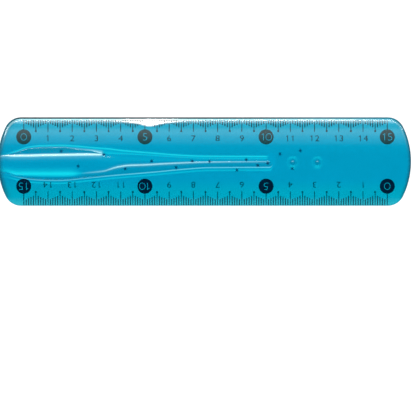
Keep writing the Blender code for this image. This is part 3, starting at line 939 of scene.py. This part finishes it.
    def cut_strip(self, whole: BMesh, index: int) -> Object:
        """Cuts one strip from the moulding.

        Args:
            whole: The moulding, which stays as it is.
            index: The flexure line that the strip lies over.

        Returns:
            The strip, shaded as a part of the whole.
        """
        bm = whole.copy()
        for x in self.flexures.cuts(index):
            bmesh.ops.bisect_plane(
                bm,
                geom=bm.verts[:] + bm.edges[:] + bm.faces[:],
                dist=self.cut_slack,
                plane_co=(x, 0, 0),
                plane_no=(1, 0, 0),
                clear_outer=x > self.flexures.x_of(index),
                clear_inner=x < self.flexures.x_of(index),
            )
        normals = bm.verts.layers.float_vector["whole_normal"]
        bm.verts.ensure_lookup_table()
        shading = [tuple(vert[normals]) for vert in bm.verts]
        bm.verts.layers.float_vector.remove(normals)
        strip = add_object(f"moulding_strip_{index + 1:02d}", bm)
        strip.data.shade_smooth()
        strip.data.normals_split_custom_set_from_vertices(shading)
        return strip


@dataclass(frozen=True)
class Mark:
    """One mark of a scale: its place along the ruler and which measuring edge it belongs to."""

    count: int
    side: Side

    def number(self, last: int) -> int:
        """The count from the zero of its own scale. The lower scale starts at the other end."""
        return self.count if self.side is Side.UPPER else last - self.count


@dataclass
class Scales:
    """The two printed scales, and the small ornament marks between them."""

    outline: Outline = field(default_factory=Outline)
    flexures: Flexures = field(default_factory=Flexures)
    zero_x: float = -74.55 * MM
    mark_step: float = 1.0 * MM
    last_mark: int = 150
    per_number: int = 10
    per_disc: int = 50
    ink: float = 0.12 * MM
    mark_width: float = 0.33 * MM
    short_mark_width: float = 0.42 * MM
    upper_gap: float = 1.25 * MM
    lower_gap: float = 0.2 * MM
    short_mark: float = 2.8 * MM
    mark_rise: float = 0.45 * MM
    half_mark: float = 5.5 * MM
    number_mark: float = 6.0 * MM
    dot: float = 0.85 * MM
    dot_segments: int = 16
    disc: float = 6.2 * MM
    disc_segments: int = 64
    disc_inset: float = 8.1 * MM
    cut_depth: float = 0.36 * MM
    numeral_y: float = 9.55 * MM
    numeral_height: float = 2.4 * MM
    disc_numeral_height: float = 2.9 * MM
    figure_advance: float = 2.2 * MM
    figure_width: float = 1.15
    nought_width: float = 0.85
    stroke_growth: float = 0.0
    disc_stroke_growth: float = -0.022
    one_stem: float = 0.13
    one_flag: float = 0.24
    one_slant: float = 0.7
    weld: float = 0.0005 * MM
    ornaments: Points = millimetres(
        (-59.1, 4.2), (-52.1, -1.9), (-41.5, 2.9), (-32.7, -3), (-21.8, 0.2), (-11.7, -2.4),
        (-5, 0.2), (2.1, 0), (13.4, -3.5), (17.3, 0.8), (22, -1.5), (26.1, -0.7), (31.2, 3.1),
        (39.6, 4.5), (36.2, -2.9),
    )
    ornament_size: float = 2.4 * MM
    ornament_stroke: float = 0.2
    ornament_strokes: Points = ((0.0, 1.0), (62.0, 0.9), (118.0, 0.75))
    ornament_turns: Pair = (35.0, 47.0)
    upper_disc_ink: Colour = (0.12, 0.065, 0.06)
    lower_disc_ink: Colour = (0.01, 0.014, 0.035)

    def mark_x(self, count: int) -> float:
        """Where a mark stands along the ruler."""
        return self.zero_x + count * self.mark_step

    def mark_length(self, count: int) -> float:
        """How far a mark reaches from the measuring edge."""
        from_number = min(count % self.per_number, -count % self.per_number)
        if from_number == 0:
            return self.number_mark
        if from_number == self.per_number // 2:
            return self.half_mark
        return self.short_mark + self.mark_rise * (from_number - 1)

    def add_bar(self, bm: BMesh, count: int, side: Side, inner_y: float) -> None:
        """Adds a mark's bar from near the measuring edge in to inner_y, a distance from the middle line."""
        outer_y = self.outline.half_width - (self.upper_gap if side is Side.UPPER else self.lower_gap)
        middle = Vector((self.mark_x(count), side.value * (outer_y + inner_y) / 2, self.ink / 2))
        width = self.short_mark_width if count % (self.per_number // 2) else self.mark_width
        size = Matrix.Diagonal((width, outer_y - inner_y, self.ink, 1))
        bmesh.ops.create_cube(bm, size=1, matrix=Matrix.Translation(middle) @ size)

    def add_plate(self, bm: BMesh, place: Matrix, diameter: float, segments: int) -> None:
        """Adds a plate of ink with as many sides as segments."""
        radius = diameter / 2
        size = {"segments": segments, "radius1": radius, "radius2": radius, "depth": self.ink}
        bmesh.ops.create_cone(bm, cap_ends=True, matrix=place, **size)

    def at(self, x: float, y: float) -> Matrix:
        """The place of a plate of ink on the underside."""
        return Matrix.Translation((x, y, self.ink / 2))

    def add_ornament(self, bm: BMesh, x: float, y: float, turn: float) -> None:
        """Adds a small sparkle of three crossed strokes."""
        for turned, length in self.ornament_strokes:
            squash = Matrix.Diagonal((length, self.ornament_stroke, 1, 1))
            place = self.at(x, y) @ Matrix.Rotation(math.radians(turn + turned), 4, "Z")
            self.add_plate(bm, place @ squash, self.ornament_size, 4)

    def figure(self, figure: str, growth: float) -> Mesh:
        """One figure as a plate that is one unit tall and thick, with its middle at the origin.

        Args:
            figure: A single figure. A one gets a flag, and a nought is drawn round.
            growth: How much each side of its strokes is thickened.

        Returns:
            Its mesh.
        """
        if figure == "1":
            return self.one(growth)
        text = bpy.data.curves.new("figure", "FONT")
        text.body = "O" if figure == "0" else figure
        text.extrude = 0.5
        text.offset = growth
        holder = link_object("figure", text)
        mesh = bpy.data.meshes.new_from_object(holder.evaluated_get(bpy.context.evaluated_depsgraph_get()))
        bpy.data.objects.remove(holder)
        bpy.data.curves.remove(text)
        ends = [[pick(vert.co[i] for vert in mesh.vertices) for pick in (min, max)] for i in (0, 1)]
        middle = Vector([sum(pair) / 2 for pair in ends] + [0])
        tall = 1 / (ends[1][1] - ends[1][0])
        broad = tall * (self.nought_width if figure == "0" else self.figure_width)
        mesh.transform(Matrix.Diagonal((broad, tall, 1, 1)) @ Matrix.Translation(-middle))
        return mesh

    def one(self, growth: float) -> Mesh:
        """The figure one: a stem with a slanted flag."""
        bm = bmesh.new()
        stem, flag = self.one_stem + 2 * growth, self.one_flag
        strokes = ((0, 0, stem, 1, 0.0), (-flag / 2, 0.5 - flag / 2, flag, stem, self.one_slant))
        for x, y, width, height, slant in strokes:
            lean = Matrix(((1, 0, 0, 0), (slant, 1, 0, 0), (0, 0, 1, 0), (0, 0, 0, 1)))
            size = Matrix.Diagonal((width, height, 1, 1))
            bmesh.ops.create_cube(bm, size=1, matrix=Matrix.Translation((x, y, 0)) @ lean @ size)
        return to_mesh("one", bm)

    def numeral(self, number: int, x: float, side: Side, in_disc: bool) -> BMesh:
        """A number as a solid plate, which for a disc is thick enough to cut through it.

        Args:
            number: What it reads.
            x: Its middle along the ruler.
            side: The scale that it belongs to, which turns it to face its own edge.
            in_disc: Whether it is for a disc.

        Returns:
            Its shape, in place.
        """
        bm = bmesh.new()
        figures = str(number)
        growth, height, depth, y = self.stroke_growth, self.numeral_height, self.ink, self.numeral_y
        if in_disc:
            growth, height, depth = self.disc_stroke_growth, self.disc_numeral_height, self.cut_depth
            y = self.outline.half_width - self.disc_inset
        for index, figure in enumerate(figures):
            mesh = self.figure(figure, growth)
            pen = (index - (len(figures) - 1) / 2) * self.figure_advance
            mesh.transform(Matrix.Translation((pen, 0, 0)) @ Matrix.Diagonal((height, height, depth, 1)))
            take_up(bm, mesh)
        bmesh.ops.remove_doubles(bm, verts=bm.verts, dist=self.weld)
        bmesh.ops.recalc_face_normals(bm, faces=bm.faces)
        turn = 0.0 if side is Side.UPPER else math.pi
        place = self.at(x, side.value * y) @ Matrix.Rotation(turn, 4, "Z")
        bmesh.ops.transform(bm, matrix=place, verts=bm.verts)
        return bm

    def make_disc(self, mark: Mark, ink: Material) -> Object:
        """A dark disc with its number left clear, and the long mark that ties it to the edge.

        Args:
            mark: The mark that the disc stands on.
            ink: The print's material.

        Returns:
            The piece.
        """
        number = mark.number(self.last_mark) // self.per_number
        name = f"{mark.side.name.lower()}_disc_{number:02d}"
        x, y = self.mark_x(mark.count), self.outline.half_width - self.disc_inset
        bm = bmesh.new()
        self.add_plate(bm, self.at(x, mark.side.value * y), self.disc, self.disc_segments)
        disc = add_object(f"print_{name}", bm)
        cutter = add_object("cutter", self.numeral(number, x, mark.side, True))
        cut = disc.modifiers.new("number", "BOOLEAN")
        cut.operation, cut.solver, cut.object = "DIFFERENCE", "EXACT", cutter
        cut.use_self = True
        graph = bpy.context.evaluated_depsgraph_get()
        result = bpy.data.meshes.new_from_object(disc.evaluated_get(graph))
        bm = bmesh.new()
        bm.from_mesh(result)
        self.add_bar(bm, mark.count, mark.side, y + self.disc / 2 - self.lower_gap / 4)
        bm.to_mesh(result)
        bm.free()
        disc.modifiers.clear()
        disc.data = result
        result.name = disc.name
        result.materials.clear()
        result.materials.append(ink)
        bpy.data.objects.remove(cutter)
        self.flexures.flex(disc, self.flexures.strip_at(x))
        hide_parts(name)
        return disc

    def build(self) -> None:
        """Makes the discs, then one piece of marks and numbers for each strip."""
        ink = PrintedInk().make()
        disc_ink = PrintedInk(upper=self.upper_disc_ink, lower=self.lower_disc_ink).make()
        pieces, sheets = [], [bmesh.new() for _ in range(self.flexures.count)]
        for count in range(self.last_mark + 1):
            x = self.mark_x(count)
            sheet = sheets[self.flexures.strip_at(x)]
            for side in Side:
                number = Mark(count, side).number(self.last_mark)
                if number % self.per_disc == 0:
                    pieces.append(self.make_disc(Mark(count, side), disc_ink))
                    continue
                inner_y = self.outline.half_width - self.mark_length(count)
                self.add_bar(sheet, count, side, inner_y)
                if count % self.per_number == self.per_number // 2:
                    dot_y = side.value * (inner_y - self.dot / 4)
                    self.add_plate(sheet, self.at(x, dot_y), self.dot, self.dot_segments)
                if number % self.per_number == 0:
                    numeral = self.numeral(number // self.per_number, x, side, False)
                    take_up(sheet, to_mesh("numeral", numeral))
        first_turn, turn_step = self.ornament_turns
        for index, (x, y) in enumerate(self.ornaments):
            self.add_ornament(sheets[self.flexures.strip_at(x)], x, y, first_turn + turn_step * index)
        for index, sheet in enumerate(sheets):
            piece = add_object(f"print_marks_{index + 1:02d}", sheet)
            piece.data.materials.append(ink)
            self.flexures.flex(piece, index)
            pieces.append(piece)
        for piece in pieces:
            keep_clear(piece)


@dataclass(frozen=True)
class AreaLamp:
    """A flat lamp that faces the ruler.

    Args:
        name: Its name.
        tilt: How far it leans from overhead, in degrees, towards the upper edge's side.
        distance: How far it is from the ruler.
        shift: How far along the ruler its middle lies.
        size: Its length along the ruler and its height.
        glow: The brightness of its face.
        for_gloss: Whether it shows in reflections only, or else lights matt surfaces only.
    """

    name: str
    tilt: float
    distance: float
    shift: float
    size: Pair
    glow: float
    for_gloss: bool

    def make(self) -> None:
        """Adds the lamp to the scene."""
        lamp = bpy.data.lights.new(self.name, "AREA")
        lamp.shape = "RECTANGLE"
        lamp.size, lamp.size_y = self.size
        lamp.energy = self.glow * math.pi * self.size[0] * self.size[1]
        obj = link_object(self.name, lamp)
        lean = math.radians(self.tilt)
        obj.location = (self.shift, self.distance * math.sin(lean), self.distance * math.cos(lean))
        obj.rotation_euler = (-lean, 0, 0)
        obj.visible_camera = False
        obj.visible_transmission = False
        obj.visible_diffuse = not self.for_gloss
        obj.visible_glossy = self.for_gloss


@dataclass
class Studio:
    """A pale floor, a pale surround, soft lamps and the camera, which looks straight down."""

    floor_z: float = -62.0 * MM
    floor_size: float = 12.0
    floor_colour: Colour = (0.9, 0.9, 0.9)
    camera_x: float = 0.45 * MM
    camera_y: float = -17.1 * MM
    camera_z: float = 1.0
    frame_width: float = 169.7 * MM
    sensor: float = 36.0
    sky: float = 1.0
    haze: float = 26.0
    haze_steps: Points = (
        (0.015, 0.0), (0.032, 0.015), (0.045, 0.018), (0.057, 0.026), (0.07, 0.031), (0.083, 0.046),
        (0.096, 0.055), (0.108, 0.057), (0.118, 0.05), (0.127, 0.025), (0.14, 0.015), (0.156, 0.025),
        (0.175, 0.3), (0.2, 1.0), (0.34, 1.0), (0.38, 0.05), (0.5, 0.01),
    )
    lamps: tuple[AreaLamp, ...] = (
        AreaLamp("key", 47.0, 0.7, -0.25, (1.5, 0.65), 1.5, True),
        AreaLamp("counter_key", -48.0, 0.7, 0.0, (1.2, 0.45), 1.2, True),
        AreaLamp("overhead", 0.0, 1.4, 0.0, (3.0, 3.0), 0.5, False),
    )

    def build(self) -> None:
        """Makes the floor, the light and the camera."""
        bm = bmesh.new()
        bmesh.ops.create_grid(bm, x_segments=4, y_segments=4, size=self.floor_size / 2)
        bmesh.ops.translate(bm, verts=bm.verts, vec=(0, 0, self.floor_z))
        floor = add_object("floor", bm)
        finish, graph, shader = new_finish("pale_floor")
        inputs = {"Base Color": (*self.floor_colour, 1), "Roughness": 1.0, "Specular IOR Level": 0.0}
        graph.feed(shader, inputs)
        floor.data.materials.append(finish)
        for lamp in self.lamps:
            lamp.make()
        self.build_surround()
        camera = bpy.data.cameras.new("camera")
        camera.sensor_width = self.sensor
        camera.lens = self.sensor * self.camera_z / self.frame_width
        holder = link_object("camera", camera)
        holder.location = (self.camera_x, self.camera_y, self.camera_z)
        bpy.context.scene.camera = holder
        bpy.context.scene.view_settings.view_transform = "Standard"

    def build_surround(self) -> None:
        """Makes the surround: pale to the eye, and dark in gloss but for a haze beyond the upper edge."""
        world = bpy.data.worlds.new("surround")
        world.use_nodes = True
        bpy.context.scene.world = world
        graph = Graph(world.node_tree)
        pale = graph.tree.nodes["Background"]
        graph.feed(pale, {"Color": (1, 1, 1, 1), "Strength": self.sky})
        place = graph.add("TexCoord", {}, "Generated")
        parts = graph.add("SeparateXYZ", {0: place}).node.outputs
        lean = graph.add("Math", {0: parts["Y"], 1: parts["Z"]}, operation="ARCTAN2")
        share = graph.add("Math", {0: lean, 1: math.pi / 2}, operation="DIVIDE")
        levels = graph.ramp(share, [(at, (level,) * 3) for at, level in self.haze_steps])
        gloss = graph.add("Background", {"Color": levels, "Strength": self.haze})
        is_glossy = graph.add("LightPath", {}, "Is Glossy Ray")
        mixed = graph.add("MixShader", {0: is_glossy, 1: pale.outputs[0], 2: gloss})
        graph.feed(graph.tree.nodes["World Output"], {"Surface": mixed})


def main() -> None:
    """Builds the studio and the ruler."""
    logging.basicConfig(level=logging.INFO, format="%(message)s")
    Studio().build()
    LOG.info("studio built")
    Moulding().build()
    Scales().build()
    bpy.context.view_layer.update()
    LOG.info("boxes written")


if __name__ == "__main__":
    main()
